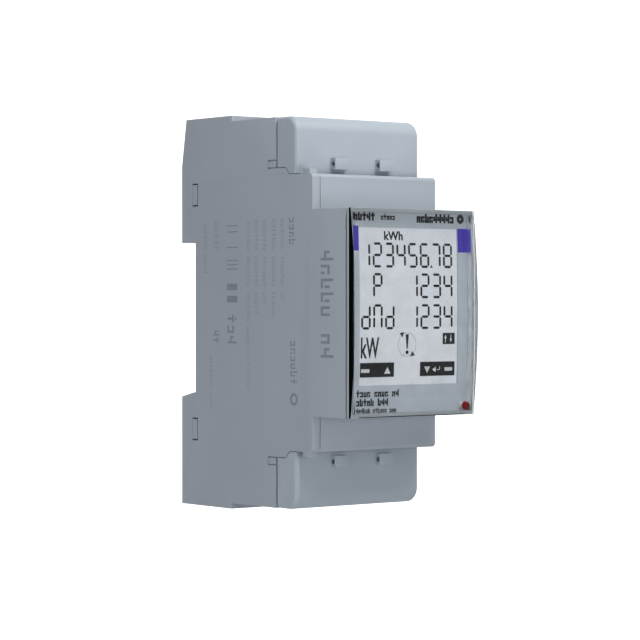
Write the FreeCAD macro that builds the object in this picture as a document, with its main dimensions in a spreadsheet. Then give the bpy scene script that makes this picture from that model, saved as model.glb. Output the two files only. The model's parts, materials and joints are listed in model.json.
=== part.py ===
import FreeCAD
import Part
import Sketcher
import os
import re

# Two-module electricity meter for a 35 mm top-hat rail.
# X runs to the right across the front, -Y is the front, +Z is up.
# The origin is the centre of the face that rests on the rail.

V = FreeCAD.Vector
doc = FreeCAD.newDocument("smart_electric_meter")
sheet = doc.addObject("Spreadsheet::Sheet", "Dims")

# Lengths in millimetres. Heights ending in _half are measured from the middle of the case,
# depths ending in _depth are measured forward from the rail face.
DIMENSIONS = [
    ("half_width", 18.0, "half of two 18 mm modules"),
    ("mid", 1.3, "height of the middle of the case above the rail centre"),
    ("block_half", 45.5, "rear block"),
    ("body_half", 44.2, "terminal part of the case"),
    ("shelf_half", 32.6, "rear part of the shelf under a terminal cover"),
    ("shoulder_half", 31.05, "shoulder"),
    ("nose_half", 23.0, "nose that shows in the panel cut-out"),
    ("rear_back", 5.56, "rear of the rail jaws behind the rail face"),
    ("slope_back", 3.76, "rear edge of the sloped top corner"),
    ("slope_half", 34.4, "start of the sloped top corner"),
    ("slot_half", 17.65, "rail slot"),
    ("mouth_half", 18.75, "lead-in of the lower jaw"),
    ("lead_back", 0.6, "start of the lead-in"),
    ("block_depth", 14.44, "front of the rear block"),
    ("case_depth", 31.22, "front of the terminal part behind the cover"),
    ("seam_depth", 31.28, "rear edge of a terminal cover"),
    ("shelf_depth", 34.84, "shelf before it steps down"),
    ("step_depth", 36.34, "shelf after it has stepped down"),
    ("cover_depth", 38.94, "front of a terminal cover"),
    ("shoulder_depth", 44.74, "front of the shoulder"),
    ("nose_depth", 56.34, "front of the nose"),
    ("neck_depth", 57.05, "front of the bezel neck"),
    ("flange_depth", 57.5, "front of the bezel flange"),
    ("lens_depth", 59.5, "crown of the lens"),
    ("lens_radius", 176.0, "arch of the lens"),
    ("lens_gap", 0.05, "bond line between the lens and the bezel"),
    ("plug_x", 17.1, "half width of the part of the lens inside the bezel"),
    ("plug_z", 22.1, "half height of the part of the lens inside the bezel"),
    ("film", 0.15, "black film on the left edge of the lens"),
    ("film_depth", 59.0, "front of the black film"),
    ("rebate_x", 17.5, "half width of the rebate in the front of the nose"),
    ("rebate_z", 22.55, "half height of the rebate in the front of the nose"),
    ("side_cover", 2.2, "thickness of the left side cover"),
    ("wall", 1.8, "wall of the case"),
    ("edge_round", 1.0, "rounding of the shoulder edges"),
    ("cover_round", 3.5, "rounding of the front edge of a terminal cover"),
    ("cover_wall", 1.6, "wall of a terminal cover"),
    ("cover_gap", 0.15, "gap under a terminal cover"),
    ("corner_round", 1.0, "rounding of the side edges of a terminal cover"),
    ("heel", 0.95, "rounding of a cover about its hinge"),
    ("pin_radius", 0.45, "hinge pin"),
    ("pin_gap", 0.05, "running clearance of the hinge pin"),
    ("pin_reach", 10.3, "half length of a hinge pin"),
    ("ear_near", 5.6, "inner side of a hinge ear"),
    ("ear_far", 8.4, "outer side of a hinge ear"),
    ("lug_depth", 40.74, "front of a seal lug"),
    ("lug_low", 32.3, "inner end of a seal lug"),
    ("lug_high", 34.9, "outer end of a seal lug"),
    ("lug_width", 4.0, "width of a seal lug"),
    ("lug_left", -8.3, "left side of the left seal lug"),
    ("lug_right", 4.8, "left side of the right seal lug"),
    ("seal_hole", 0.6, "radius of the seal wire hole"),
    ("way_x", 7.9, "terminals left and right of the middle"),
    ("cage_half", 5.4, "half width of a clamp cage"),
    ("cage_wall", 1.2, "side wall of a clamp cage"),
    ("cage_end", 1.4, "front and rear wall of a clamp cage"),
    ("cage_front", 26.9, "front of a clamp cage when open"),
    ("cage_rear", 13.1, "rear of a clamp cage when open"),
    ("cage_low", 33.4, "inner end of a clamp cage"),
    ("cage_high", 41.8, "outer end of a clamp cage"),
    ("pocket_half", 5.6, "half width of a cage pocket"),
    ("pocket_low", 32.9, "inner end of a cage pocket"),
    ("pocket_high", 42.0, "outer end of a cage pocket"),
    ("pocket_front", 31.0, "front of a cage pocket"),
    ("pocket_rear", 12.8, "rear of a cage pocket"),
    ("wire_radius", 4.1, "wire entry"),
    ("wire_depth", 19.0, "wire entry in front of the rail face"),
    ("deck_depth", 34.0, "front of the terminal deck"),
    ("deck_x", 15.4, "half width of the terminal deck"),
    ("deck_low", 33.4, "inner edge of the terminal deck"),
    ("deck_high", 41.6, "outer edge of the terminal deck"),
    ("screw_z", 37.6, "height of the terminal screws"),
    ("head_radius", 2.9, "head of a terminal screw"),
    ("head_front", 33.6, "front of a screw head"),
    ("head_back", 31.8, "underside of a screw head"),
    ("shank_radius", 2.2, "shank of a terminal screw"),
    ("shank_gap", 0.05, "running clearance of a terminal screw"),
    ("tip_depth", 25.2, "tip of a terminal screw"),
    ("slot_width", 0.9, "screwdriver slot"),
    ("bar_front", 25.1, "front of a busbar"),
    ("bar_back", 23.5, "back of a busbar"),
    ("bar_half", 3.4, "half width of a busbar"),
    ("bar_end", 40.5, "end of a busbar"),
    ("shunt_half", 6.0, "half length of the shunt"),
    ("inner_half", 29.4, "room behind the shoulder"),
    ("inner_front", 42.9, "front of the room behind the shoulder"),
    ("inner_nose", 21.0, "room inside the nose"),
    ("inner_right", 15.9, "inner face of the right wall"),
    ("window_top", 30.3, "outer end of a snap window"),
    ("window_low", 24.9, "inner end of a snap window"),
    ("window_back", 1.36, "rear edge of a snap window"),
    ("window_front", -0.94, "front edge of a snap window"),
    ("latch_half", 5.0, "half width of the rail latch"),
    ("latch_near", 1.3, "front face of the rail latch"),
    ("latch_far", 4.2, "rear face of the rail latch"),
    ("latch_tip", 16.1, "tip of the rail latch below the rail centre"),
    ("latch_play", 0.2, "clearance of the latch in its channel"),
    ("lcd_left", -14.7, "left edge of the LCD"),
    ("lcd_right", 15.1, "right edge of the LCD"),
    ("lcd_top", 19.6, "top edge of the LCD"),
    ("lcd_low", -16.8, "bottom edge of the LCD"),
    ("led_x", 15.75, "pulse light"),
    ("led_z", -21.0, "pulse light from the middle of the case"),
    ("led_radius", 1.0, "pulse light"),
    ("led_front", 57.2, "front of the pulse light, in the cut corner of the lens"),
    ("led_gap", 0.08, "clearance round the pulse light"),
    ("led_room", 0.3, "room between the pulse light and the lens"),
    ("label_front", 54.9, "front of the label plate"),
    ("label_back", 54.6, "back of the label plate and floor of the rebate"),
    ("lcd_back", 52.6, "back of the LCD"),
    ("guide_back", 51.2, "back of the light guide"),
    ("board", 1.6, "thickness of a circuit board"),
]

for row, (alias, size, note) in enumerate(DIMENSIONS, start=1):
    sheet.set("A%d" % row, alias)
    sheet.set("B%d" % row, str(size))
    sheet.set("C%d" % row, note)
    sheet.setAlias("B%d" % row, alias)
doc.recompute()

TOP = 1
BOTTOM = -1
LEFT = -1
RIGHT = 1
AXES = {
    "x": FreeCAD.Rotation(V(0, 1, 0), 90),
    "y": FreeCAD.Rotation(V(1, 0, 0), -90),
    "z": FreeCAD.Rotation(),
}
subparts = []


def bound(text):
    """Name the sheet in front of every dimension in an expression."""
    return re.sub(r"[a-z][a-z_]*", lambda word: "Dims." + word.group(0), str(text))


def value(text):
    return float(sheet.evalExpression(bound(text)))


def drive(obj, target, text):
    obj.setExpression(target, bound(text))


def place(obj, x, y, z):
    for axis, text in zip("xyz", (x, y, z)):
        drive(obj, "Placement.Base." + axis, text)


def box(x, y, z):
    """A box between pairs of limits along X, Y and Z."""
    obj = doc.addObject("Part::Box", "box")
    for side, limits in zip(("Length", "Width", "Height"), (x, y, z)):
        drive(obj, side, "(%s) - (%s)" % (limits[1], limits[0]))
    place(obj, x[0], y[0], z[0])
    return obj


def rod(axis, start, radius, length):
    """A cylinder that runs from its start point along +X, +Y or +Z."""
    obj = doc.addObject("Part::Cylinder", "rod")
    obj.Placement = FreeCAD.Placement(V(), AXES[axis])
    drive(obj, "Radius", radius)
    drive(obj, "Height", length)
    place(obj, *start)
    return obj


def fuse(*pieces):
    obj = doc.addObject("Part::MultiFuse", "fuse")
    obj.Shapes = list(pieces)
    obj.Refine = True
    return obj


def cut(base, *tools):
    obj = doc.addObject("Part::Cut", "cut")
    obj.Base = base
    obj.Tool = tools[0] if len(tools) == 1 else fuse(*tools)
    obj.Refine = True
    return obj


def common(first, second):
    obj = doc.addObject("Part::MultiCommon", "common")
    obj.Shapes = [first, second]
    return obj


def group(*pieces):
    """Separate solids that share one sub-part."""
    obj = doc.addObject("Part::Compound", "group")
    obj.Links = list(pieces)
    return obj


def fillet(base, radius, wanted):
    """Round the edges for which wanted(edge) is true."""
    doc.recompute()
    obj = doc.addObject("Part::Fillet", "fillet")
    obj.Base = base
    size = value(radius)
    edges = enumerate(base.Shape.Edges, start=1)
    obj.Edges = [(number, size, size) for number, edge in edges if wanted(edge)]
    return obj


def prism(points, low, high):
    """A body padded along +X from a closed outline of (y, z) points."""
    body = doc.addObject("PartDesign::Body", "prism")
    sketch = body.newObject("Sketcher::SketchObject", "outline")
    plane = next(item for item in body.Origin.OriginFeatures if item.Role == "YZ_Plane")
    sketch.AttachmentSupport = [(plane, "")]
    sketch.MapMode = "FlatFace"
    spots = [V(value(y), value(z), 0) for y, z in points]
    count = len(spots)
    for index, spot in enumerate(spots):
        sketch.addGeometry(Part.LineSegment(spot, spots[(index + 1) % count]), False)
    for index in range(count):
        sketch.addConstraint(Sketcher.Constraint("Coincident", index, 2, (index + 1) % count, 1))
    for index, (y, z) in enumerate(points):
        for kind, text in (("DistanceX", y), ("DistanceY", z)):
            made = Sketcher.Constraint(kind, -1, 1, index, 1, value(text))
            drive(sketch, "Constraints[%d]" % sketch.addConstraint(made), text)
    pad = body.newObject("PartDesign::Pad", "pad")
    pad.Profile = sketch
    drive(pad, "Length", "(%s) - (%s)" % (high, low))
    drive(body, "Placement.Base.x", low)
    return body


def level(side, offset):
    """A height at an offset from the middle of the case, mirrored for the bottom."""
    return "mid + (%s)" % offset if side == TOP else "mid - (%s)" % offset


def span(side, low, high):
    ends = level(side, low), level(side, high)
    return ends if side == TOP else ends[::-1]


def across(side, near, far):
    """Limits along X at one side of the middle."""
    return (near, far) if side == RIGHT else ("-(%s)" % far, "-(%s)" % near)


def finish(obj, name):
    obj.Label = name
    subparts.append(obj)
    return obj


def along_x(edge, y=None, z=None):
    """True for a straight edge along X at a given depth and height."""
    ends = [vertex.Point for vertex in edge.Vertexes]
    if len(ends) != 2 or abs(ends[0].y - ends[1].y) > 0.001 or abs(ends[0].z - ends[1].z) > 0.001:
        return False
    right_y = y is None or abs(ends[0].y - y) < 0.01
    right_z = z is None or abs(ends[0].z - z) < 0.01
    return right_y and right_z


def side_outline():
    """Outline of the case seen from the side, terminal covers and lens left off."""
    upper = [
        ("rear_back", level(TOP, "slope_half")),
        ("slope_back", level(TOP, "block_half")),
        ("-block_depth", level(TOP, "block_half")),
        ("-block_depth", level(TOP, "body_half")),
        ("-case_depth", level(TOP, "body_half")),
        ("-case_depth", level(TOP, "shelf_half")),
        ("-shelf_depth", level(TOP, "shelf_half")),
        ("-step_depth", level(TOP, "shoulder_half")),
        ("-shoulder_depth", level(TOP, "shoulder_half")),
        ("-shoulder_depth", level(TOP, "nose_half")),
        ("-nose_depth", level(TOP, "nose_half")),
    ]
    lower = [(y, z.replace("mid +", "mid -")) for y, z in reversed(upper[2:])]
    rail = [
        ("rear_back", level(BOTTOM, "block_half")),
        ("rear_back", "-mouth_half"),
        ("lead_back", "-slot_half"),
        ("0", "-slot_half"),
        ("0", "slot_half"),
        ("rear_back", "slot_half"),
    ]
    return upper + lower + rail


def round_shoulders(obj):
    """Round the front edges of the shoulders."""
    front = -value("shoulder_depth")
    heights = [value(level(side, "shoulder_half")) for side in (TOP, BOTTOM)]
    return fillet(obj, "edge_round", lambda edge: any(along_x(edge, front, z) for z in heights))


def shadow_groove(side_low, side_high):
    """Narrow groove between the side cover and the case on the shoulder front."""
    return box((side_low, side_high), ("-shoulder_depth - 1", "-shoulder_depth + 0.6"),
               ("mid - 30.3", "mid + 30.3"))


def terminal_pockets(side):
    """Room for the clamp cages and screws of one end, with the wire entries."""
    tools = []
    for hand in (LEFT, RIGHT):
        centre = "way_x" if hand == RIGHT else "-way_x"
        start_low = level(side, "pocket_high - 1") if side == TOP else level(side, "body_half + 1")
        tools += [
            box(across(hand, "way_x - pocket_half", "way_x + pocket_half"),
                ("-pocket_front", "-pocket_rear"), span(side, "pocket_low", "pocket_high")),
            box(across(hand, "way_x - bar_half - 0.1", "way_x + bar_half + 0.1"),
                ("-bar_front - 0.1", "-bar_back + 0.1"), span(side, "inner_half - 1", "pocket_low + 1")),
            rod("z", (centre, "-wire_depth", start_low), "wire_radius", "body_half - pocket_high + 2"),
            rod("y", (centre, "-deck_depth - 1", level(side, "screw_z")),
                "head_radius + 0.3", "deck_depth + 1 - head_back"),
            rod("y", (centre, "-deck_depth - 1", level(side, "screw_z")),
                "shank_radius + shank_gap", "deck_depth + 2 - pocket_front"),
        ]
    return tools


def hinge_ears(side):
    """Two ears on the case that hold the hinge pin of a terminal cover."""
    axis_y = "-seam_depth - heel"
    ears = []
    for hand in (LEFT, RIGHT):
        x = across(hand, "ear_near", "ear_far")
        barrel = rod("x", (x[0], axis_y, level(side, "body_half - heel")),
                     "heel - 0.05", "ear_far - ear_near")
        web = box(x, (axis_y, "-case_depth + 1"), span(side, "body_half - 2 * heel + 0.05",
                                                      "body_half - 0.05"))
        hole = rod("x", (x[0], axis_y, level(side, "body_half - heel")),
                   "pin_radius", "ear_far - ear_near")
        ears.append(cut(fuse(barrel, web), hole))
    return ears


def main_case():
    shell = round_shoulders(prism(side_outline(), "-half_width + side_cover", "half_width"))
    open_side = "-half_width"
    room = [
        box((open_side, "inner_right"), ("-nose_depth - 1", "-inner_front + 1"),
            span(TOP, "-inner_nose", "inner_nose")),
        box((open_side, "inner_right"), ("-inner_front", "-wall"),
            span(TOP, "-inner_half", "inner_half")),
        box((open_side, "inner_right"), ("-pocket_rear + wall", "rear_back - 3.4"),
            ("slot_half + wall", level(TOP, "block_half - wall"))),
        box((open_side, "inner_right"), ("-pocket_rear + wall", "-0.8"),
            (level(BOTTOM, "block_half - wall"), "-slot_half - wall")),
    ]
    channel = box(("-latch_half - latch_play", "latch_half + latch_play"),
                  ("latch_near - latch_play", "latch_far + latch_play"),
                  (level(BOTTOM, "block_half + 1"), "-slot_half + 1"))
    spring_room = box(("-2", "2"), ("-0.4", "latch_near"), ("-34", "-26"))
    decks = [box(("-deck_x", "deck_x"), ("-deck_depth", "-case_depth + 1"),
                 span(side, "deck_low", "deck_high")) for side in (TOP, BOTTOM)]
    hook = box(("-12", "12"), ("1.4", "3.2"), ("slot_half - 1.4", "slot_half + 1"))
    data_room = box(("-2.1", "2.1"), ("-deck_depth - 1", "-24"), span(BOTTOM, "34.2", "41.2"))
    teeth = [box(("-half_width + 0.05", "-half_width + side_cover + 1"),
                 ("window_front + 0.35", "window_back - 0.03"),
                 span(side, "window_low + 0.35", "window_top - 0.35")) for side in (TOP, BOTTOM)]
    teeth += [box(("-half_width + side_cover", "-half_width + side_cover + 1.2"),
                  ("window_front + 0.35", "rear_back - 2.4"),
                  span(TOP, "window_low + 0.35", "window_top - 0.35"))]
    carved = cut(fuse(cut(shell, *room), *decks), channel, spring_room, data_room, light_hole(), rebate(),
                 shadow_groove("-half_width + side_cover - 1", "-half_width + side_cover + 0.08"),
                 *(terminal_pockets(TOP) + terminal_pockets(BOTTOM)))
    return finish(fuse(carved, hook, *(teeth + hinge_ears(TOP) + hinge_ears(BOTTOM))), "main_case")


def left_side_cover():
    inner = "-half_width + side_cover"
    plate = round_shoulders(prism(side_outline(), "-half_width", inner))
    lips = [box(("-half_width", "-half_width + 2"), ("-shoulder_depth + edge_round", "-41.3"),
                span(side, "shoulder_half - 1", "shoulder_half + 1.05")) for side in (TOP, BOTTOM)]
    windows = [box(("-half_width - 1", inner), ("window_front", "window_back"),
                   span(side, "window_low", "window_top")) for side in (TOP, BOTTOM)]
    engraved = []
    for side in (TOP, BOTTOM):
        engraved += [
            box(("-half_width - 1", "-half_width + 0.5"), ("-case_depth", "-28.3"),
                span(side, "lug_high - 0.65", "lug_high - 0.3")),
            box(("-half_width - 1", "-half_width + 0.5"), ("-case_depth", "-28.3"),
                span(side, "shelf_half", "shelf_half + 0.3")),
            box(("-half_width - 1", "-half_width + 0.2"), ("-28.5", "-28.3"),
                span(side, "shelf_half", "lug_high - 0.3")),
        ]
    groove = shadow_groove("-half_width + side_cover - 0.08", "-half_width + side_cover + 1")
    return finish(cut(fuse(plate, *lips), groove, rebate(), *(windows + engraved)), "left_side_cover")


def terminal_cover(side, name):
    outline = [
        ("-seam_depth", level(side, "shelf_half + cover_gap")),
        ("-seam_depth", level(side, "body_half")),
        ("-cover_depth", level(side, "body_half")),
        ("-cover_depth", level(side, "shoulder_half + cover_gap")),
        ("-step_depth - 0.1", level(side, "shoulder_half + cover_gap")),
        ("-shelf_depth - 0.1", level(side, "shelf_half + cover_gap")),
    ]
    block = prism(outline, "-half_width", "half_width")
    top = value(level(side, "body_half"))
    front = -value("cover_depth")
    seam = -value("seam_depth")
    rounded = fillet(block, "cover_round", lambda edge: along_x(edge, front, top))
    rounded = fillet(rounded, "heel", lambda edge: along_x(edge, seam, top))
    # The side edges of the front face and of the rounded corner above it.
    half = value("half_width")
    rear_of_round = front + value("cover_round") + 0.01

    def side_edge(edge):
        points = [vertex.Point for vertex in edge.Vertexes]
        return all(abs(abs(p.x) - half) < 0.001 and p.y < rear_of_round for p in points) and (
            abs(points[0].z - points[-1].z) > 1)
    rounded = fillet(rounded, "corner_round", side_edge)
    hollow = box(("-half_width + cover_wall", "half_width - cover_wall"),
                 ("-cover_depth + cover_wall", "0"),
                 span(side, "shoulder_half - 1", "body_half - cover_wall"))
    axis_y = "-seam_depth - heel"
    notches = [box(across(hand, "ear_near - 0.2", "ear_far + 0.2"), (axis_y + " - 1.2", "0"),
                   span(side, "body_half - 2.4", "body_half + 1")) for hand in (LEFT, RIGHT)]
    bore = rod("x", ("-pin_reach - 0.2", axis_y, level(side, "body_half - heel")),
               "pin_radius + pin_gap", "2 * pin_reach + 0.4")
    lugs = []
    for left in ("lug_left", "lug_right"):
        lug = box((left, left + " + lug_width"), ("-lug_depth", "-cover_depth + 0.5"),
                  span(side, "lug_low", "lug_high"))
        hole = rod("x", (left + " - 1", "-(cover_depth + lug_depth) / 2", level(side, "33.6")),
                   "seal_hole", "lug_width + 2")
        lugs.append(cut(lug, hole))
    shell = cut(rounded, hollow, bore, *notches)
    return finish(fuse(shell, *lugs), name)


def hinge_pin(side, name):
    pin = rod("x", ("-pin_reach", "-seam_depth - heel", level(side, "body_half - heel")),
              "pin_radius", "2 * pin_reach")
    return finish(pin, name)


def terminal_screw(side, hand, name):
    centre = "way_x" if hand == RIGHT else "-way_x"
    height = level(side, "screw_z")
    head = rod("y", (centre, "-head_front", height), "head_radius", "head_front - head_back")
    shank = rod("y", (centre, "-head_front + 1", height), "shank_radius", "head_front - 1 - tip_depth")
    slot = box((centre + " - slot_width / 2", centre + " + slot_width / 2"),
               ("-head_front - 1", "-head_front + 1.1"),
               (height + " - 2.4", height + " + 2.4"))
    return finish(cut(fuse(head, shank), slot), name)


def clamp_cage(side, hand, name):
    centre = "way_x" if hand == RIGHT else "-way_x"
    body = box(across(hand, "way_x - cage_half", "way_x + cage_half"), ("-cage_front", "-cage_rear"),
               span(side, "cage_low", "cage_high"))
    window = box(across(hand, "way_x - cage_half + cage_wall", "way_x + cage_half - cage_wall"),
                 ("-cage_front + cage_end", "-cage_rear - cage_end"),
                 span(side, "cage_low - 1", "cage_high + 1"))
    hole = rod("y", (centre, "-cage_front - 1", level(side, "screw_z")),
               "shank_radius + shank_gap", "cage_end + 2")
    return finish(cut(body, window, hole), name)


def bar(hand, low, high):
    return box(across(hand, "way_x - bar_half", "way_x + bar_half"), ("-bar_front", "-bar_back"),
               (level(TOP, low), level(TOP, high)))


def conductors():
    finish(bar(LEFT, "shunt_half", "bar_end"), "line_busbar_top")
    finish(bar(LEFT, "-bar_end", "-shunt_half"), "line_busbar_bottom")
    finish(bar(RIGHT, "-bar_end", "bar_end"), "neutral_busbar")
    waist = cut(bar(LEFT, "-shunt_half", "shunt_half"),
                box(("-way_x - bar_half - 1", "-way_x - bar_half + 1.2"), ("-30", "-20"),
                    ("mid - 2.5", "mid + 2.5")))
    finish(waist, "current_shunt")


def rail_latch():
    plate = box(("-latch_half", "latch_half"), ("latch_near", "latch_far"),
                (level(BOTTOM, "block_half"), "-latch_tip - 1.5"))
    tip = prism([
        ("latch_near", "-latch_tip - 1.6"),
        ("latch_near", "-latch_tip"),
        ("latch_near + 1.0", "-latch_tip"),
        ("latch_far", "-latch_tip - 1.4"),
        ("latch_far", "-latch_tip - 1.6"),
    ], "-latch_half", "latch_half")
    spring_slot = box(("-2", "2"), ("latch_near - 1", "latch_near + 1.2"), ("-34", "-26"))
    driver_slot = box(("-2.5", "2.5"), ("latch_near - 1", "latch_near + 1.5"),
                      (level(BOTTOM, "block_half - 1") + " - 1.3", level(BOTTOM, "block_half - 3")))
    finish(cut(fuse(plate, tip), spring_slot, driver_slot), "din_latch")


def latch_spring():
    """Coil spring in the pocket between the case and the latch."""
    helix = doc.addObject("Part::Helix", "coil")
    helix.Pitch = 1.3
    helix.Height = 7.6
    helix.Radius = 1.05
    wire = doc.addObject("Part::Circle", "wire")
    wire.Radius = 0.22
    wire.Placement = FreeCAD.Placement(V(1.05, 0, 0), FreeCAD.Rotation(V(1, 0, 0), 90))
    sweep = doc.addObject("Part::Sweep", "sweep")
    sweep.Sections = [wire]
    sweep.Spine = (helix, [])
    sweep.Solid = True
    sweep.Frenet = True
    place(sweep, "0", "latch_near - 0.3", "-33.8")
    finish(sweep, "latch_spring")


def ring(outer_x, outer_z, inner_x, inner_z, front, back):
    outer = box(("-" + outer_x, outer_x), (front, back), ("mid - " + outer_z, "mid + " + outer_z))
    hole = box(("-" + inner_x, inner_x), (front + " - 1", back + " + 1"),
               ("mid - " + inner_z, "mid + " + inner_z))
    return cut(outer, hole)


def light_hole():
    return rod("y", ("led_x", "-lens_depth - 2", "mid + led_z"), "led_radius + led_gap", "12")


def rebate():
    """Step in the front of the nose that takes the label plate and the bezel."""
    return box(("-rebate_x", "rebate_x"), ("-nose_depth - 1", "-label_back"),
               ("mid - rebate_z", "mid + rebate_z"))


def arched(x, front):
    """The part of the lens that stands in front of the bezel, between two limits along X."""
    block = box(x, ("-" + front, "-flange_depth - lens_gap"), ("mid - nose_half", "mid + nose_half"))
    arch = rod("x", ("-half_width - 1", "-lens_depth + lens_radius", "mid"), "lens_radius", "40")
    return common(block, arch)


def lens():
    """Solid clear block, arched on its front, with a plug that reaches down to the label."""
    plug = box(("-plug_x + lens_gap", "plug_x - lens_gap"), ("-flange_depth - 1", "-label_front - lens_gap"),
               ("mid - plug_z + lens_gap", "mid + plug_z - lens_gap"))
    film_x = ("-half_width", "-half_width + film")
    recess = box(film_x, ("-film_depth", "-flange_depth"), ("mid - nose_half", "mid + nose_half"))
    light_room = box(("led_x - led_radius - led_room", "plug_x"),
                     ("-flange_depth - lens_gap", "-label_front"),
                     ("mid - plug_z", "mid + led_z + led_radius + led_room"))
    clear = fuse(arched(("-half_width", "half_width"), "lens_depth"), cut(plug, light_room))
    finish(cut(clear, recess), "lens")
    finish(arched(film_x, "film_depth"), "lens_edge_film")


def front_group():
    neck = ring("rebate_x", "rebate_z", "plug_x", "plug_z", "-neck_depth", "-label_front")
    flange = ring("half_width", "nose_half", "plug_x", "plug_z", "-flange_depth", "-neck_depth")
    finish(fuse(neck, flange), "front_bezel")
    gasket = ring("rebate_x + 0.15", "rebate_z + 0.15", "rebate_x", "rebate_z", "-neck_depth", "-nose_depth")
    finish(gasket, "lens_gasket")
    lens()
    window = box(("lcd_left + 0.4", "lcd_right - 0.8"), ("-60", "-50"),
                 ("mid + lcd_low + 1", "mid + lcd_top - 0.9"))
    plate = box(("-rebate_x", "rebate_x"), ("-label_front", "-label_back"),
                ("mid - rebate_z", "mid + rebate_z"))
    finish(cut(plate, window, light_hole()), "label_plate")
    lcd_z = ("mid + lcd_low", "mid + lcd_top")
    finish(box(("lcd_left", "lcd_right"), ("-label_back", "-lcd_back"), lcd_z), "lcd_glass")
    finish(box(("lcd_left", "lcd_right"), ("-lcd_back", "-guide_back"), lcd_z), "lcd_backlight")
    holder = box(("-half_width + side_cover", "inner_right"), ("-label_back", "-guide_back"),
                 ("mid - inner_nose", "mid + inner_nose"))
    pocket = box(("lcd_left", "lcd_right"), ("-60", "-50"), lcd_z)
    finish(cut(holder, pocket, light_hole()), "display_holder")
    keys = [box(limits, ("-label_back - 0.15", "-label_back"), ("mid - 14.0", "mid - 10.85"))
            for limits in (("-13.9", "-4.3"), ("3.4", "13.5"))]
    finish(group(*keys), "touch_keys")
    finish(rod("y", ("led_x", "-led_front", "mid + led_z"), "led_radius", "led_front - guide_back"),
           "pulse_light")


def electronics():
    finish(box(("-15.4", "15.6"), ("-guide_back", "-guide_back + board"), ("mid - 20.6", "mid + 20.6")),
           "display_board")
    outline = [("-49.6", "mid - 19"), ("-42", "mid - 19"), ("-42", "mid - 28"), ("-2.4", "mid - 28"),
               ("-2.4", "mid + 28"), ("-42", "mid + 28"), ("-42", "mid + 19"), ("-49.6", "mid + 19")]
    finish(prism(outline, "-13.8", "-13.8 + board"), "main_board")
    finish(box(("12.6", "12.6 + board"), ("-40", "-2.4"), ("mid - 28", "mid + 28")), "power_board")
    spacers = [rod("x", ("-12.2", y, z), "1.5", "24.8")
               for y in ("-37.5", "-5") for z in ("mid - 25.5", "mid + 25.5")]
    finish(group(*spacers), "board_spacers")
    finish(rod("x", ("-0.4", "-12", "mid + 12"), "5", "13"), "reservoir_capacitor")
    finish(box(("0", "12.6"), ("-19", "-4"), ("mid - 9", "mid + 5")), "supply_transformer")
    finish(box(("4.6", "12.6"), ("-20", "-8"), ("mid - 23", "mid - 11")), "film_capacitor")
    finish(rod("x", ("8.8", "-14", "mid + 23"), "5", "3.8"), "surge_varistor")
    finish(box(("-12.2", "-10.8"), ("-20", "-12"), ("mid - 4", "mid + 4")), "metering_chip")
    finish(box(("-12.2", "-10.8"), ("-39", "-29"), ("mid - 5", "mid + 5")), "processor_chip")
    finish(rod("x", ("-12.2", "-12", "mid - 16"), "6", "3.2"), "clock_battery")
    finish(box(("-12.2", "-9.7"), ("-49.6", "-44"), ("mid - 9", "mid + 9")), "board_connector")
    finish(box(("-12.2", "-11.8"), ("-28", "-22"), ("mid - 27", "mid + 27")), "insulation_sheet")
    block = box(("-2.1", "2.1"), ("-33.9", "-24"), span(BOTTOM, "34.2", "41.2"))
    ways = [rod("y", ("0", "-36", level(BOTTOM, height)), "0.7", "8") for height in ("35.6", "37.7", "39.8")]
    finish(cut(block, *ways), "data_terminal")


main_case()
left_side_cover()
terminal_cover(TOP, "top_terminal_cover")
terminal_cover(BOTTOM, "bottom_terminal_cover")
hinge_pin(TOP, "top_hinge_pin")
hinge_pin(BOTTOM, "bottom_hinge_pin")
for end, end_name in ((TOP, "top"), (BOTTOM, "bottom")):
    for hand, hand_name in ((LEFT, "left"), (RIGHT, "right")):
        terminal_screw(end, hand, "%s_%s_screw" % (end_name, hand_name))
        clamp_cage(end, hand, "%s_%s_cage" % (end_name, hand_name))
conductors()
rail_latch()
latch_spring()
front_group()
electronics()
doc.recompute()

for obj in doc.Objects:
    if "Invalid" in obj.State or "Error" in obj.State:
        raise RuntimeError("%s (%s) did not compute" % (obj.Label, obj.Name))
os.makedirs("parts", exist_ok=True)
for obj in subparts:
    shape = obj.Shape
    if shape.isNull() or not shape.isValid() or not shape.Solids:
        raise RuntimeError("%s has no valid solid" % obj.Label)
    print("%-22s solids %d  volume %.1f" % (obj.Label, len(shape.Solids), shape.Volume))
    shape.exportStep("parts/%s.step" % obj.Label)
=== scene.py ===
import json
import math
import bmesh
import bpy
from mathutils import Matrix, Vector


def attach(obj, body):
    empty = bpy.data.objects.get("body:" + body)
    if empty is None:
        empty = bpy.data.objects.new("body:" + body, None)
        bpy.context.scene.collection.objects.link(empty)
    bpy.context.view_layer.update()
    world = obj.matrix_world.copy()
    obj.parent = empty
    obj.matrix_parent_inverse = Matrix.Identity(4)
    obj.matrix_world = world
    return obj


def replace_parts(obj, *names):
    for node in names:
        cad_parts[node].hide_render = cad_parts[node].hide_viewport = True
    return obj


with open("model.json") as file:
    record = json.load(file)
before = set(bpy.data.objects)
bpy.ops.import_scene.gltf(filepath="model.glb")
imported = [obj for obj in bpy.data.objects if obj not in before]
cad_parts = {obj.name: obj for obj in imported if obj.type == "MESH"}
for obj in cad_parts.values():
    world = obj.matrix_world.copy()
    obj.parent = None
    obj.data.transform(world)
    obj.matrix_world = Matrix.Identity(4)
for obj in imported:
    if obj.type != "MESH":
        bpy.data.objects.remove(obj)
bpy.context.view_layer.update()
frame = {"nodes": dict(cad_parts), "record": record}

NODES = frame["nodes"]
BODY_OF = {node: body for body, nodes in frame["record"]["behaviour"]["bodies"].items() for node in nodes}
SLOT_OF = {part["node"]: part["material_slot"] for part in frame["record"]["subparts"]}
METER = "meter"
MM = 0.001
MID = 1.3  # height of the middle of the case above the rail centre, in mm
WELD = 1e-6  # corners nearer than this, in metres, are joined
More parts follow.
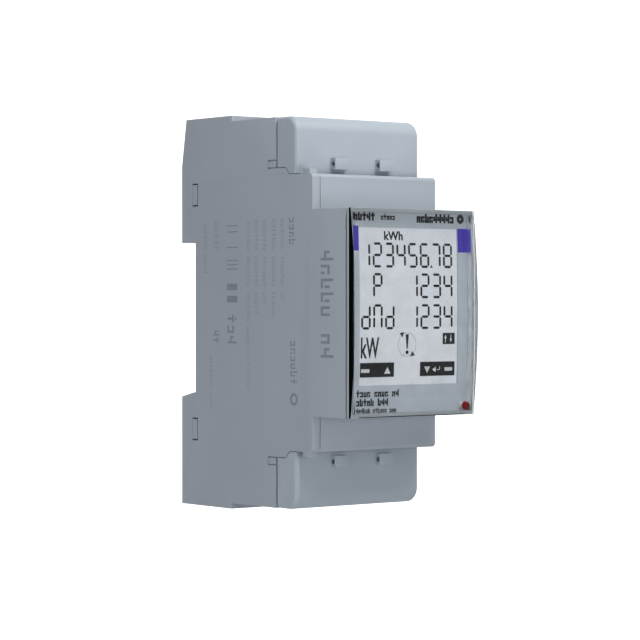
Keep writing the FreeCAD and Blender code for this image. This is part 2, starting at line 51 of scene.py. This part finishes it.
FLAT = math.radians(0.6)  # faces that turn by less than this are one face


# ---------------------------------------------------------------- camera and studio

VIEW_TURN = math.radians(38.25)  # the view comes from this far to the left of the front
VIEW_RISE = math.radians(0.32)
VIEW_DISTANCE = 0.5744
VIEW_TARGET = (0.0, -0.02444, 0.0013)
FLOOR_Z = -0.32
FLOOR_HALF = 6.0
SWEEP_HALF = 2.5
SWEEP_START = 1.1
SWEEP_RADIUS = 1.0
SWEEP_TOP = 2.5
SWEEP_STEPS = 8
AMBIENT = 0.30
FRONT = (0.0, -0.04, 0.0)
# Name, place, aim, size and power of each soft light, in metres and watts.
LIGHTS = [
    ("key_above_front", (0.0, -0.20, 0.26), (0.0, -0.04, 0.02), (0.25, 0.12), 0.88),
    ("fill_front", (-0.03, -0.26, -0.02), FRONT, (0.10, 0.06), 0.15),
    ("fill_left", (-0.75, -0.12, -0.10), FRONT, (0.7, 0.5), 0.4),
    ("fill_left_low", (-0.7, -0.1, -0.25), FRONT, (0.6, 0.4), 1.5),
]


def link_object(name, data):
    obj = bpy.data.objects.new(name, data)
    bpy.context.collection.objects.link(obj)
    return obj


def add_camera():
    """Long lens, 38 degrees to the left of the front, level with the display."""
    data = bpy.data.cameras.new("camera")
    data.lens = 138.83
    data.sensor_width = 36.0
    data.shift_x = 0.0007
    data.shift_y = -0.0122
    data.clip_end = 50.0
    camera = link_object("camera", data)
    back = Vector((-math.sin(VIEW_TURN) * math.cos(VIEW_RISE),
                   -math.cos(VIEW_TURN) * math.cos(VIEW_RISE), math.sin(VIEW_RISE)))
    camera.location = Vector(VIEW_TARGET) + back * VIEW_DISTANCE
    camera.rotation_euler = (-back).to_track_quat("-Z", "Y").to_euler()
    bpy.context.scene.camera = camera


def plain_material(name, colour, roughness, glow=0.0):
    material = bpy.data.materials.new(name)
    material.use_nodes = True
    shader = material.node_tree.nodes["Principled BSDF"]
    shader.inputs["Base Color"].default_value = (*colour, 1.0)
    shader.inputs["Roughness"].default_value = roughness
    shader.inputs["Emission Color"].default_value = (*colour, 1.0)
    shader.inputs["Emission Strength"].default_value = glow
    return material


def stage_piece(name, points, faces, material):
    data = bpy.data.meshes.new(name)
    data.from_pydata([tuple(point) for point in points], [], faces)
    data.materials.append(material)
    return link_object(name, data)


def add_stage():
    """Pale floor well below the meter, and a white sweep far behind it."""
    corners = [(-FLOOR_HALF, -FLOOR_HALF), (FLOOR_HALF, -FLOOR_HALF),
               (FLOOR_HALF, FLOOR_HALF), (-FLOOR_HALF, FLOOR_HALF)]
    floor = stage_piece("studio_floor", [(x, y, FLOOR_Z) for x, y in corners], [(0, 1, 2, 3)],
                        plain_material("floor_paint", (0.82, 0.84, 0.86), 0.8))
    forward = Vector((math.sin(VIEW_TURN), math.cos(VIEW_TURN), 0.0))
    aside = Vector((forward.y, -forward.x, 0.0))
    base = FLOOR_Z + 0.004 + SWEEP_RADIUS
    rows = []
    for step in range(SWEEP_STEPS + 1):
        angle = math.radians(90.0 * step / SWEEP_STEPS)
        rows.append((SWEEP_START + SWEEP_RADIUS * math.sin(angle), base - SWEEP_RADIUS * math.cos(angle)))
    rows.append((SWEEP_START + SWEEP_RADIUS, SWEEP_TOP))
    points = [forward * reach + aside * side + Vector((0.0, 0.0, height))
              for reach, height in rows for side in (-SWEEP_HALF, SWEEP_HALF)]
    faces = [(2 * i, 2 * i + 1, 2 * i + 3, 2 * i + 2) for i in range(len(rows) - 1)]
    backdrop = stage_piece("studio_sweep", points, faces,
                           plain_material("sweep_paint", (1.0, 1.0, 1.0), 1.0, 1.0))


def add_light(name, place, aim, size, power):
    data = bpy.data.lights.new(name, "AREA")
    data.shape = "RECTANGLE"
    data.size, data.size_y = size
    data.energy = power
    light = link_object(name, data)
    light.location = place
    direction = Vector(aim) - Vector(place)
    light.rotation_euler = direction.to_track_quat("-Z", "Y").to_euler()


def add_lights():
    world = bpy.data.worlds.new("studio")
    world.use_nodes = True
    background = world.node_tree.nodes["Background"]
    background.inputs["Color"].default_value = (0.93, 0.965, 1.0, 1.0)
    background.inputs["Strength"].default_value = AMBIENT
    bpy.context.scene.world = world
    for light in LIGHTS:
        add_light(*light)
    bpy.context.scene.view_settings.view_transform = "Standard"


# ---------------------------------------------------------------- materials

class Paint:
    """A procedural material built on one Principled shader."""

    def __init__(self, name):
        self.material = bpy.data.materials.new(name)
        self.material.use_nodes = True
        self.tree = self.material.node_tree
        self.shader = self.tree.nodes["Principled BSDF"]
        self.place = self.node("ShaderNodeTexCoord").outputs["Object"]

    def node(self, kind, **values):
        made = self.tree.nodes.new(kind)
        for key, setting in values.items():
            setattr(made, key, setting)
        return made

    def link(self, start, end):
        self.tree.links.new(start, end)

    def set(self, **values):
        """Uniform settings of the shader, named with underscores for spaces."""
        for key, setting in values.items():
            self.shader.inputs[key.replace("_", " ")].default_value = setting

    def noise(self, scale, detail=3.0, stretch=(1.0, 1.0, 1.0)):
        """Noise whose features are 1 / scale metres apart."""
        mapping = self.node("ShaderNodeMapping")
        mapping.inputs["Scale"].default_value = stretch
        self.link(self.place, mapping.inputs["Vector"])
        noise = self.node("ShaderNodeTexNoise")
        noise.inputs["Scale"].default_value = scale
        noise.inputs["Detail"].default_value = detail
        self.link(mapping.outputs["Vector"], noise.inputs["Vector"])
        return noise.outputs["Fac"]

    def spread(self, source, low, high, start=0.3, end=0.7):
        """Map a factor onto a range of numbers."""
        ranged = self.node("ShaderNodeMapRange")
        for key, setting in (("From Min", start), ("From Max", end), ("To Min", low), ("To Max", high)):
            ranged.inputs[key].default_value = setting
        self.link(source, ranged.inputs["Value"])
        return ranged.outputs["Result"]

    def blend(self, factor, first, second):
        """Mix two colours, each a tuple or the output of a node."""
        mix = self.node("ShaderNodeMix", data_type="RGBA")
        for key, source in (("A", first), ("B", second)):
            if isinstance(source, tuple):
                mix.inputs[key].default_value = (*source, 1.0)
            else:
                self.link(source, mix.inputs[key])
        self.link(factor, mix.inputs["Factor"])
        return mix.outputs["Result"]

    def edges(self, radius):
        """1 on edges, where moulded lays wear and a painted highlight, and 0 on flats, from rounded and
        true normals.
        """
        bevel = self.node("ShaderNodeBevel", samples=4)
        bevel.inputs["Radius"].default_value = radius
        geometry = self.node("ShaderNodeNewGeometry")
        dot = self.node("ShaderNodeVectorMath", operation="DOT_PRODUCT")
        self.link(bevel.outputs["Normal"], dot.inputs[0])
        self.link(geometry.outputs["Normal"], dot.inputs[1])
        return self.spread(dot.outputs["Value"], 1.0, 0.0, 0.8, 0.99)

    def bump(self, source, strength, depth):
        bump = self.node("ShaderNodeBump")
        bump.inputs["Strength"].default_value = strength
        bump.inputs["Distance"].default_value = depth
        self.link(source, bump.inputs["Height"])
        self.link(bump.outputs["Normal"], self.shader.inputs["Normal"])

    def colour(self, source):
        self.link(source, self.shader.inputs["Base Color"])

    def roughness(self, source):
        self.link(source, self.shader.inputs["Roughness"])


def scaled(colour, factor):
    return tuple(min(1.0, c * factor) for c in colour)


def moulded(name, colour, rough=(0.42, 0.56)):
    """Spark-eroded moulded plastic: fine grain, faint flow marks, and paler edges that are wear and a
    painted highlight together.
    """
    grain, grain_depth = 2600.0, 0.00002
    edge_radius, wear_and_highlight_share = 0.00025, 0.12
    paint = Paint(name)
    flow = paint.noise(55.0, 4.0, (1.0, 1.0, 0.4))
    base = paint.blend(paint.spread(flow, 0.0, 1.0), scaled(colour, 0.965), scaled(colour, 1.03))
    # Edges are paled toward a lighter grey: partly wear, partly a painted highlight where the edges catch
    # the light.
    edge_wear_and_highlight = paint.spread(paint.edges(edge_radius), 0.0, wear_and_highlight_share, 0.0, 1.0)
    paint.colour(paint.blend(edge_wear_and_highlight, base, scaled(colour, 1.6)))
    paint.roughness(paint.spread(paint.noise(grain * 0.6), *rough))
    paint.bump(paint.noise(grain, 2.0), 0.35, grain_depth)
    return paint.material


def metal(name, colour, stretch=(1.0, 1.0, 18.0)):
    """Plated or drawn metal with fine lines along one direction and dull patches."""
    paint = Paint(name)
    paint.set(Metallic=1.0)
    patches = paint.noise(350.0, 4.0)
    paint.colour(paint.blend(paint.spread(patches, 0.0, 1.0), scaled(colour, 0.82), colour))
    lines = paint.noise(900.0, 3.0, stretch)
    paint.roughness(paint.spread(lines, 0.22, 0.42))
    paint.bump(lines, 0.25, 0.00001)
    return paint.material


def circuit(name):
    """Solder-masked board with copper tracks showing through."""
    paint = Paint(name)
    brick = paint.node("ShaderNodeTexBrick")
    brick.inputs["Scale"].default_value = 260.0
    brick.inputs["Mortar Size"].default_value = 0.06
    brick.inputs["Color1"].default_value = (0.012, 0.11, 0.045, 1.0)
    brick.inputs["Color2"].default_value = (0.016, 0.14, 0.055, 1.0)
    brick.inputs["Mortar"].default_value = (0.035, 0.22, 0.09, 1.0)
    turn = paint.node("ShaderNodeMapping")
    turn.inputs["Rotation"].default_value = (0.0, math.radians(90.0), 0.0)
    paint.link(paint.place, turn.inputs["Vector"])
    paint.link(turn.outputs["Vector"], brick.inputs["Vector"])
    paint.colour(brick.outputs["Color"])
    paint.roughness(paint.spread(paint.noise(700.0), 0.25, 0.4))
    paint.bump(brick.outputs["Fac"], 0.3, 0.00003)
    return paint.material


def gloss(name, colour, rough=(0.12, 0.24), glow=0.0, level=0.5):
    """Smooth film, ink or lacquer, slightly mottled; level is how much light it mirrors."""
    paint = Paint(name)
    mottled = paint.noise(240.0, 3.0)
    paint.colour(paint.blend(paint.spread(mottled, 0.0, 1.0), scaled(colour, 0.93), scaled(colour, 1.04)))
    paint.roughness(paint.spread(paint.noise(1500.0), *rough))
    paint.bump(paint.noise(1800.0, 2.0), 0.1, 0.00001)
    paint.set(Specular_IOR_Level=level)
    # glow is painted light: the surface shines by itself though it is no lamp.
    if glow:
        paint.set(Emission_Color=(*colour, 1.0), Emission_Strength=glow)
    return paint.material


def painted_glow_head(name, head, stem, start):
    """A light pipe whose head, in front of a depth given in metres, is painted red as a painted glow, and
    which is pale behind it.
    """
    paint = Paint(name)
    split = paint.node("ShaderNodeSeparateXYZ")
    paint.link(paint.place, split.inputs[0])
    front = paint.node("ShaderNodeMath", operation="LESS_THAN")
    paint.link(split.outputs["Y"], front.inputs[0])
    front.inputs[1].default_value = start
    mottled = paint.spread(paint.noise(900.0, 3.0), 0.0, 1.0)
    painted_glow_colour = paint.blend(mottled, scaled(head, 0.85), head)
    paint.colour(paint.blend(front.outputs[0], stem, painted_glow_colour))
    paint.roughness(paint.spread(paint.noise(1500.0), 0.3, 0.4))
    paint.set(Specular_IOR_Level=0.02)
    return paint.material


def clear(name):
    """Clear moulded plastic, with the faintest waviness."""
    paint = Paint(name)
    paint.set(Base_Color=(1.0, 1.0, 1.0, 1.0), Transmission_Weight=1.0, IOR=1.49, Specular_IOR_Level=0.02)
    paint.roughness(paint.spread(paint.noise(400.0), 0.0, 0.02))
    paint.bump(paint.noise(60.0, 1.0), 0.03, 0.00002)
    return paint.material


HEAD_START = -0.0569  # rear of the head of the pulse light, painted red for its glow, in metres

# Materials by the slots of the record, and then the inks that are only printed on them.
MATERIALS = {
    "case_grey": moulded("moulded_case", (0.325, 0.358, 0.40)),
    "cover_grey": moulded("moulded_cover", (0.347, 0.392, 0.434)),
    "bezel_grey": moulded("moulded_bezel", (0.42, 0.47, 0.50), (0.3, 0.4)),
    "clear_lens": clear("clear_acrylic"),
    # The black film on the lens's left side only is painted shade, for the dark seen in that edge of the
    # lens.
    "black_film": gloss("black_film", (0.003, 0.003, 0.003), (0.5, 0.6), level=0.0),
    "black_rubber": moulded("gasket_rubber", (0.006, 0.006, 0.007), (0.6, 0.8)),
    "label_print": gloss("label_print", (0.55, 0.61, 0.675), (0.45, 0.6)),
    # The display panel's faint glow is painted light, which makes it brighter than the label around it.
    "lcd_panel": gloss("lcd_panel", (0.74, 0.775, 0.82), (0.2, 0.3), 0.16),
    "light_guide": gloss("light_guide", (0.82, 0.86, 0.9), (0.1, 0.2)),
    "holder_grey": moulded("holder_plastic", (0.3, 0.33, 0.36)),
    "key_black": gloss("key_black", (0.002, 0.002, 0.002), (0.4, 0.5), level=0.0),
    # The red head of the pulse light is a painted glow, not emission.
    "red_light": painted_glow_head("pulse_red_painted_glow", (0.25, 0.0, 0.003), (0.92, 0.96, 1.0), HEAD_START),
    "board_green": circuit("circuit_board"),
    "chip_black": moulded("chip_epoxy", (0.02, 0.02, 0.022), (0.5, 0.7)),
    "connector_black": moulded("connector_plastic", (0.025, 0.025, 0.027)),
    "nylon_white": moulded("nylon", (0.72, 0.72, 0.68)),
    "can_sleeve": gloss("capacitor_sleeve", (0.02, 0.03, 0.07)),
    "transformer_tape": gloss("transformer_tape", (0.62, 0.45, 0.04)),
    "film_cap_yellow": gloss("film_capacitor_case", (0.62, 0.5, 0.06)),
    "varistor_blue": gloss("varistor_lacquer", (0.02, 0.06, 0.35)),
    "cell_steel": metal("cell_steel", (0.72, 0.72, 0.70)),
    "insulation_film": gloss("insulation_film", (0.62, 0.42, 0.12)),
    "terminal_green": moulded("terminal_green", (0.02, 0.2, 0.06)),
    "copper_bar": metal("copper_bar", (0.78, 0.36, 0.2)),
    "shunt_alloy": metal("shunt_alloy", (0.5, 0.38, 0.28)),
    "cage_steel": metal("zinc_plate", (0.68, 0.68, 0.64)),
    "screw_steel": metal("screw_plate", (0.74, 0.73, 0.68), stretch=(6.0, 1.0, 6.0)),
    "pin_steel": metal("pin_steel", (0.6, 0.6, 0.6), stretch=(1.0, 12.0, 12.0)),
    "latch_plastic": moulded("latch_plastic", (0.30, 0.345, 0.38)),
    "spring_steel": metal("spring_steel", (0.4, 0.4, 0.42)),
    "ink_black": gloss("ink_black", (0.004, 0.004, 0.005), (0.5, 0.6), level=0.0),
    "ink_grey": gloss("ink_grey", (0.20, 0.23, 0.26), (0.5, 0.6)),
    "ink_faint": gloss("ink_faint", (0.265, 0.30, 0.335), (0.5, 0.6)),
    "ink_purple": gloss("ink_purple", (0.06, 0.028, 0.52), (0.4, 0.5), level=0.2),
    "ink_white": gloss("ink_white", (0.75, 0.77, 0.79), (0.4, 0.5)),
    "lcd_segment": gloss("lcd_segment", (0.006, 0.006, 0.008), (0.4, 0.5), level=0.0),
    "lcd_faint": gloss("lcd_faint", (0.30, 0.32, 0.34), (0.3, 0.4)),
}


# ---------------------------------------------------------------- bodies from CAD

# Width of the rounding on the hard edges of these nodes, in metres.
SOFT = {
    "main_case": 0.00008,
    "left_side_cover": 0.00004,
    "top_terminal_cover": 0.00004,
    "bottom_terminal_cover": 0.00004,
    "front_bezel": 0.00006,
    "din_latch": 0.0002,
}
HARD_EDGE = math.radians(30.0)  # edges that turn by more than this are rounded
CREASE = math.radians(28.0)  # edges that turn by more than this are shaded as creases
LENS_RIM = -57.55 * MM  # rear of the rim of the lens
CLOSE = 0.1 * MM  # corners nearer than this are taken as one


def add_piece(name, data, body, paint):
    obj = link_object(name, data)
    data.materials.clear()
    data.materials.append(MATERIALS[paint])
    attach(obj, body)
    return obj


def editable(node):
    """The CAD shape of a node as an editable mesh with whole flat faces."""
    mesh = bmesh.new()
    mesh.from_mesh(NODES[node].data)
    bmesh.ops.remove_doubles(mesh, verts=mesh.verts, dist=WELD)
    bmesh.ops.dissolve_limit(mesh, angle_limit=FLAT, verts=mesh.verts, edges=mesh.edges)
    return mesh


def finished(mesh, name):
    data = bpy.data.meshes.new(name)
    mesh.to_mesh(data)
    mesh.free()
    return data


def stand_in(node, data, name):
    """A piece that is shown instead of a CAD node, on its body and in its material slot."""
    slot = SLOT_OF[node]
    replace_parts(add_piece(name, data, BODY_OF[node], slot), node)


def softened(node, width):
    """The CAD shape with its hard edges rounded."""
    mesh = editable(node)
    edges = [e for e in mesh.edges if len(e.link_faces) == 2 and e.calc_face_angle() > HARD_EDGE]
    bmesh.ops.bevel(mesh, geom=edges, offset=width, offset_type="OFFSET", segments=2,
                    profile=0.5, affect="EDGES", clamp_overlap=True)
    data = finished(mesh, node + "_soft")
    for polygon in data.polygons:
        polygon.use_smooth = True
    data.set_sharp_from_angle(angle=CREASE)
    stand_in(node, data, node + "_shell")


def bonded_lens():
    """The lens with its cut corner closed, as clear resin fills it round the pulse light."""
    mesh = editable("lens")
    plug = [v for v in mesh.verts if v.co.y > LENS_RIM + CLOSE]
    right = max(v.co.x for v in plug)
    bottom = min(v.co.z for v in plug)
    for vertex in mesh.verts:
        inside = vertex.co.y > LENS_RIM - CLOSE and 0 < vertex.co.x < right - CLOSE
        if inside and bottom + CLOSE < vertex.co.z < 0:
            vertex.co.x, vertex.co.z = right, bottom
    bmesh.ops.triangulate(mesh, faces=mesh.faces)
    stand_in("lens", finished(mesh, "lens_bonded"), "lens_body")


def dress_nodes():
    """Give every CAD node its material, and round the edges of the moulded ones."""
    for node, slot in SLOT_OF.items():
        if node in SOFT:
            softened(node, SOFT[node])
            continue
        data = NODES[node].data
        for index in range(len(data.materials)):
            data.materials[index] = MATERIALS[slot]


# ---------------------------------------------------------------- flat graphics

def around(centre, radius, angle):
    return centre[0] + radius * math.cos(angle), centre[1] + radius * math.sin(angle)


class Sheet:
    """Thin printed shapes on one plane, gathered in one mesh.

    right and up are the plane's directions and out is its normal, in the row frame.
    """

    def __init__(self, origin, right, up, thickness):
        self.origin = Vector(origin)
        self.right = Vector(right)
        self.up = Vector(up)
        self.out = self.right.cross(self.up)
        self.thickness = thickness
        self.mesh = bmesh.new()

    def spot(self, u, v, lift):
        return (self.origin + self.right * u + self.up * v + self.out * lift) * MM

    def polygon(self, points):
        """A raised plate from an outline in mm."""
        low = [self.mesh.verts.new(self.spot(u, v, 0.0)) for u, v in points]
        high = [self.mesh.verts.new(self.spot(u, v, self.thickness)) for u, v in points]
        count = len(points)
        self.mesh.faces.new(high)
        self.mesh.faces.new(low[::-1])
        for i in range(count):
            j = (i + 1) % count
            self.mesh.faces.new((low[i], low[j], high[j], high[i]))

    def box(self, u0, v0, u1, v1):
        self.polygon([(u0, v0), (u1, v0), (u1, v1), (u0, v1)])

    def bar(self, start, end, width):
        """A segment with pointed ends."""
        a, b = Vector(start), Vector(end)
        along = (b - a).normalized()
        side = Vector((-along.y, along.x)) * width / 2
        tip = along * width / 2
        self.polygon([a, a + tip - side, b - tip - side, b, b - tip + side, a + tip + side])

    def stroke(self, start, end, width):
        a, b = Vector(start), Vector(end)
        side = Vector((-(b - a).y, (b - a).x)).normalized() * width / 2
        self.polygon([a - side, b - side, b + side, a + side])

    def ring(self, centre, radius, width, start=0.0, end=360.0, steps=48):
        low, high = radius - width / 2, radius + width / 2
        for i in range(steps):
            a, b = (math.radians(start + (end - start) * k / steps) for k in (i, i + 1))
            self.polygon([around(centre, low, a), around(centre, high, a),
                          around(centre, high, b), around(centre, low, b)])

    def disc(self, centre, radius, steps=28):
        self.polygon([around(centre, radius, math.tau * i / steps) for i in range(steps)])

    def finish(self, name, paint, slot):
        bmesh.ops.recalc_face_normals(self.mesh, faces=self.mesh.faces)
        add_piece(name, finished(self.mesh, name), METER, paint)


# The segments of a digit as (start, end) on a grid one wide and two tall, and the lit ones.
SEGMENTS = {
    "a": ((0, 2), (1, 2)), "b": ((1, 2), (1, 1)), "c": ((1, 1), (1, 0)), "d": ((0, 0), (1, 0)),
    "e": ((0, 1), (0, 0)), "f": ((0, 2), (0, 1)), "g": ((0, 1), (1, 1)),
}
SHAPES = {
    "1": "bc", "2": "abged", "3": "abgcd", "4": "fgbc", "5": "afgcd", "6": "afgedc", "7": "abc",
    "8": "abcdefg", "P": "abgef", "d": "bgcde", "n": "efabc",
}
DIGIT_WIDE, DIGIT_TALL = 2.7, 5.5
DIGIT_PITCH = 3.41
DIGIT_EDGE = 13.2  # right edge of the last digit
SEGMENT_WIDTH = 0.54
SEGMENT_GAP = 0.1


def seven_segment(sheet, text, base):
    """A row of characters that ends at the right edge of the digits."""
    inset = SEGMENT_WIDTH / 2
    step_x = DIGIT_WIDE - SEGMENT_WIDTH
    step_y = (DIGIT_TALL - SEGMENT_WIDTH) / 2
    for place, sign in enumerate(reversed(text)):
        if sign == " ":
            continue
        corner = Vector((DIGIT_EDGE - place * DIGIT_PITCH - DIGIT_WIDE + inset, base + inset))
        for key in SHAPES[sign]:
            start, end = (corner + Vector((x * step_x, y * step_y)) for x, y in SEGMENTS[key])
            gap = (end - start).normalized() * SEGMENT_GAP
            sheet.bar(start + gap, end - gap, SEGMENT_WIDTH)


# Made-up marks in a cell one unit wide and tall, as boxes (left, bottom, right, top).
# They stand for print and aren't letters.
MARKS = [
    [(0, 0, 0.2, 0.7), (0.5, 0, 0.7, 0.7), (0.2, 0.52, 0.5, 0.7)],
    [(0, 0, 0.2, 1.0), (0.2, 0, 0.7, 0.18), (0.5, 0.3, 0.7, 0.7)],
    [(0, 0, 0.7, 0.18), (0, 0.52, 0.7, 0.7), (0.5, 0.18, 0.7, 0.52)],
    [(0.25, 0, 0.45, 0.52), (0, 0.52, 0.7, 0.7), (0.25, 0.8, 0.45, 1.0)],
    [(0, 0, 0.2, 0.7), (0.2, 0.52, 0.7, 0.7), (0.5, 0.0, 0.7, 0.3)],
    [(0.5, 0, 0.7, 1.0), (0, 0.26, 0.5, 0.44), (0, 0.44, 0.2, 0.7)],
    [(0, 0, 0.2, 0.7), (0.5, 0, 0.7, 0.7), (0.2, 0, 0.5, 0.18)],
]


CELL = 0.68  # width of a mark's cell for each mm of its height


def greeked(sheet, u0, u1, v0, v1, seed, words=6, fat=0.0):
    """A line of made-up marks, with a gap after every few of them, thickened by a fraction."""
    tall = v1 - v0
    cell = tall * CELL
    state = seed
    for place in range(int((u1 - u0) / cell)):
        state = (state * 1103515245 + 12345) % 2147483648
        if place % (words + 1) == words:
            continue
        u = u0 + place * cell
        for left, low, right, high in MARKS[(state >> 12) % len(MARKS)]:
            sheet.box(u + (left - fat) * cell, v0 + (low - fat / 2) * tall,
                      u + (right + fat) * cell, v0 + (high + fat / 2) * tall)


# Positions on the front are in mm from the middle of the case, as x to the right and z up.
LABEL_FRONT = -54.9
BEZEL_FRONT = -57.5
LCD_FRONT = -54.6
KEY_FRONT = LCD_FRONT - 0.15
SHIFT = -0.32  # the print sits this far to the left of the middle
INK = 0.02


def front_sheet(depth, thickness=INK):
    return Sheet((SHIFT, depth, MID), (1, 0, 0), (0, 0, 1), thickness)


def add_unit(text, left, base, tall, wide, weight, name):
    """A unit sign on the display in the built-in font, made into a thin mesh."""
    thick = INK / 2
    curve = bpy.data.curves.new(name + "_outline", "FONT")
    curve.body = text
    curve.extrude = thick
    curve.offset = weight
    holder = link_object(name + "_outline", curve)
    bpy.context.view_layer.update()
    data = bpy.data.meshes.new_from_object(holder)
    bpy.data.objects.remove(holder)
    xs = [v.co.x for v in data.vertices]
    ys = [v.co.y for v in data.vertices]
    scale_x = wide / (max(xs) - min(xs))
    scale_y = tall / (max(ys) - min(ys))
    for vertex in data.vertices:
        x = (left + SHIFT + (vertex.co.x - min(xs)) * scale_x) * MM
        z = (base + MID + (vertex.co.y - min(ys)) * scale_y) * MM
        y = (LCD_FRONT - thick - vertex.co.z) * MM
        vertex.co = (x, y, z)
    data.name = name
    add_piece(name, data, METER, "lcd_segment")


def add_lcd():
    """The display: three rows of digits, a warning sign, guide arcs, a status box and two units."""
    digits = front_sheet(LCD_FRONT)
    seven_segment(digits, "12345678", 9.9)
    digits.polygon([(6.6, 9.95), (7.4, 9.95), (7.0, 10.6)])
    seven_segment(digits, " P  1234", 3.2)
    seven_segment(digits, "dnd 1234", -3.6)
    digits.polygon([(-0.6, -4.7), (0.3, -4.7), (0.02, -7.9), (-0.32, -7.9)])
    digits.disc((-0.15, -8.65), 0.42)
    for arrow in ([(-2.35, -4.45), (-1.05, -4.2), (-1.5, -5.4)],
                  [(2.15, -9.35), (0.85, -9.6), (1.25, -8.4)]):
        digits.polygon(arrow)
    digits.box(10.3, -7.0, 13.85, -4.5)
    digits.finish("lcd_digits", "lcd_segment", "lcd_panel")
    faint = front_sheet(LCD_FRONT)
    faint.ring((-0.15, -7.0), 2.6, 0.09)
    for start in (60.0, 240.0):
        faint.ring((-0.2, -12.6), 3.55, 0.07, start, start + 60.0, 20)
    faint.finish("lcd_guides", "lcd_faint", "lcd_panel")
    light = front_sheet(LCD_FRONT - INK, INK / 2)
    light.polygon([(10.75, -5.7), (11.45, -5.7), (11.1, -4.9)])
    light.box(11.0, -6.6, 11.2, -5.7)
    light.polygon([(12.35, -5.8), (12.7, -6.6), (13.05, -5.8)])
    light.box(12.6, -5.8, 12.8, -4.9)
    light.finish("status_arrows", "lcd_panel", "lcd_panel")
    add_unit("kWh", -6.6, 15.9, 2.0, 5.4, 0.03, "unit_energy")
    add_unit("kW", -13.4, -9.9, 4.6, 5.2, 0.02, "unit_power")


def add_key_marks():
    """Dash and up arrow on the left touch area; down arrow, return arrow and dash on the right."""
    marks = front_sheet(KEY_FRONT)
    marks.box(-13.4, -13.0, -11.0, -12.2)
    marks.polygon([(-6.8, -13.3), (-4.95, -13.3), (-5.88, -11.8)])
    marks.polygon([(4.8, -11.9), (5.67, -13.35), (6.53, -11.9)])
    marks.polygon([(7.15, -12.6), (8.2, -13.2), (8.2, -12.0)])
    marks.box(8.5, -12.7, 9.3, -12.55)
    marks.box(9.3, -12.7, 9.45, -11.95)
    marks.box(10.84, -12.95, 13.1, -12.15)
    marks.finish("key_marks", "ink_white", "key_black")


# Each line of made-up print: left, right, low, high, seed, marks in a word, thickening.
LABEL_TOP_LINES = [
    (-15.3, -8.3, 20.4, 22.2, 11, 9, 0.11),
    (-7.6, -2.8, 20.6, 21.8, 5, 9, 0.09),
    (2.8, 14.3, 20.2, 22.0, 23, 20, 0.12),
]
LABEL_LOWER_LINES = [
    (-14.6, -2.2, -18.3, -16.8, 7, 4, 0.08),
    (-14.6, -5.4, -20.4, -18.9, 31, 5, 0.1),
    (-14.7, -2.9, -21.95, -20.95, 47, 6, 0.08),
]


def add_label_print():
    """Print and coloured bands on the label, and a painted shadow line under the lens."""
    ink = front_sheet(LABEL_FRONT)
    for line in LABEL_TOP_LINES:
        greeked(ink, *line)
    ink.ring((15.6, 21.1), 0.65, 0.8)
    for line in LABEL_LOWER_LINES:
        greeked(ink, *line)
    ink.finish("label_ink", "ink_black", "label_print")
    purple = front_sheet(LABEL_FRONT)
    purple.box(-16.8, 13.55, -14.1, 19.1)
    purple.box(14.7, 13.45, 18.05, 18.95)
    purple.finish("label_bands", "ink_purple", "label_print")
    # A black strip along the bottom of the lens is painted shadow, for the dark gap between the lens and
    # the case.
    edge = front_sheet(BEZEL_FRONT)
    edge.box(-15.0, -22.95, 15.6, -22.75)
    edge.finish("bezel_painted_shadow_line", "ink_black", "bezel_grey")


# Positions on the side run downward from the middle of the case, and forward from the rail.
# Each line of made-up print: top, bottom, rear, front, seed, marks in a word.
SIDE_BOLD_LINES = [
    (-13.7, 12.0, 47.7, 52.2, 3, 5),
    (-21.4, -14.6, 36.2, 38.6, 9, 9),
    (6.3, 17.6, 36.7, 39.2, 131, 9),
]
SIDE_SIGN_LINES = [(0.6, 8.8, 12.8, 16.4, 97, 4), (4.3, 8.8, 7.2, 9.6, 113, 4)]
SIDE_BARS = (-20.0, -18.6, -15.0, -12.0, -11.0, -10.0)
SIDE_BLOCKS = (-6.6, -3.8)
SIDE_FINE_LINES = [
    (-21.0, -2.5, 33.1, 34.6, 17, 7),
    (-21.0, 2.0, 29.8, 31.3, 41, 7),
    (-21.0, -1.0, 26.4, 27.9, 65, 7),
    (-21.0, 0.5, 23.3, 24.8, 89, 7),
    (-21.0, 18.7, 20.2, 21.7, 113, 7),
    (-21.0, -14.2, 7.6, 9.6, 101, 5),
    (-20.7, -8.0, 3.2, 5.0, 127, 5),
    (10.4, 23.7, 5.6, 7.0, 149, 8),
]


def side_sheet():
    return Sheet((-18.0, 0.0, MID), (0, 0, -1), (0, -1, 0), 0.012)


def add_side_print():
    """Faint print on the side cover, read from top to bottom."""
    bold = side_sheet()
    for line in SIDE_BOLD_LINES:
        greeked(bold, *line)
    bold.ring((19.4, 38.0), 1.1, 0.6)
    for place in SIDE_BARS:
        bold.stroke((place, 12.6), (place, 16.8), 0.25)
    for place in SIDE_BLOCKS:
        bold.box(place, 12.6, place + 1.5, 16.6)
    for line in SIDE_SIGN_LINES:
        greeked(bold, *line)
    bold.finish("side_print", "ink_grey", "case_grey")
    fine = side_sheet()
    for line in SIDE_FINE_LINES:
        greeked(fine, *line)
    fine.finish("side_fine_print", "ink_faint", "case_grey")


add_camera()
add_stage()
add_lights()
dress_nodes()
bonded_lens()
add_lcd()
add_key_marks()
add_label_print()
add_side_print()
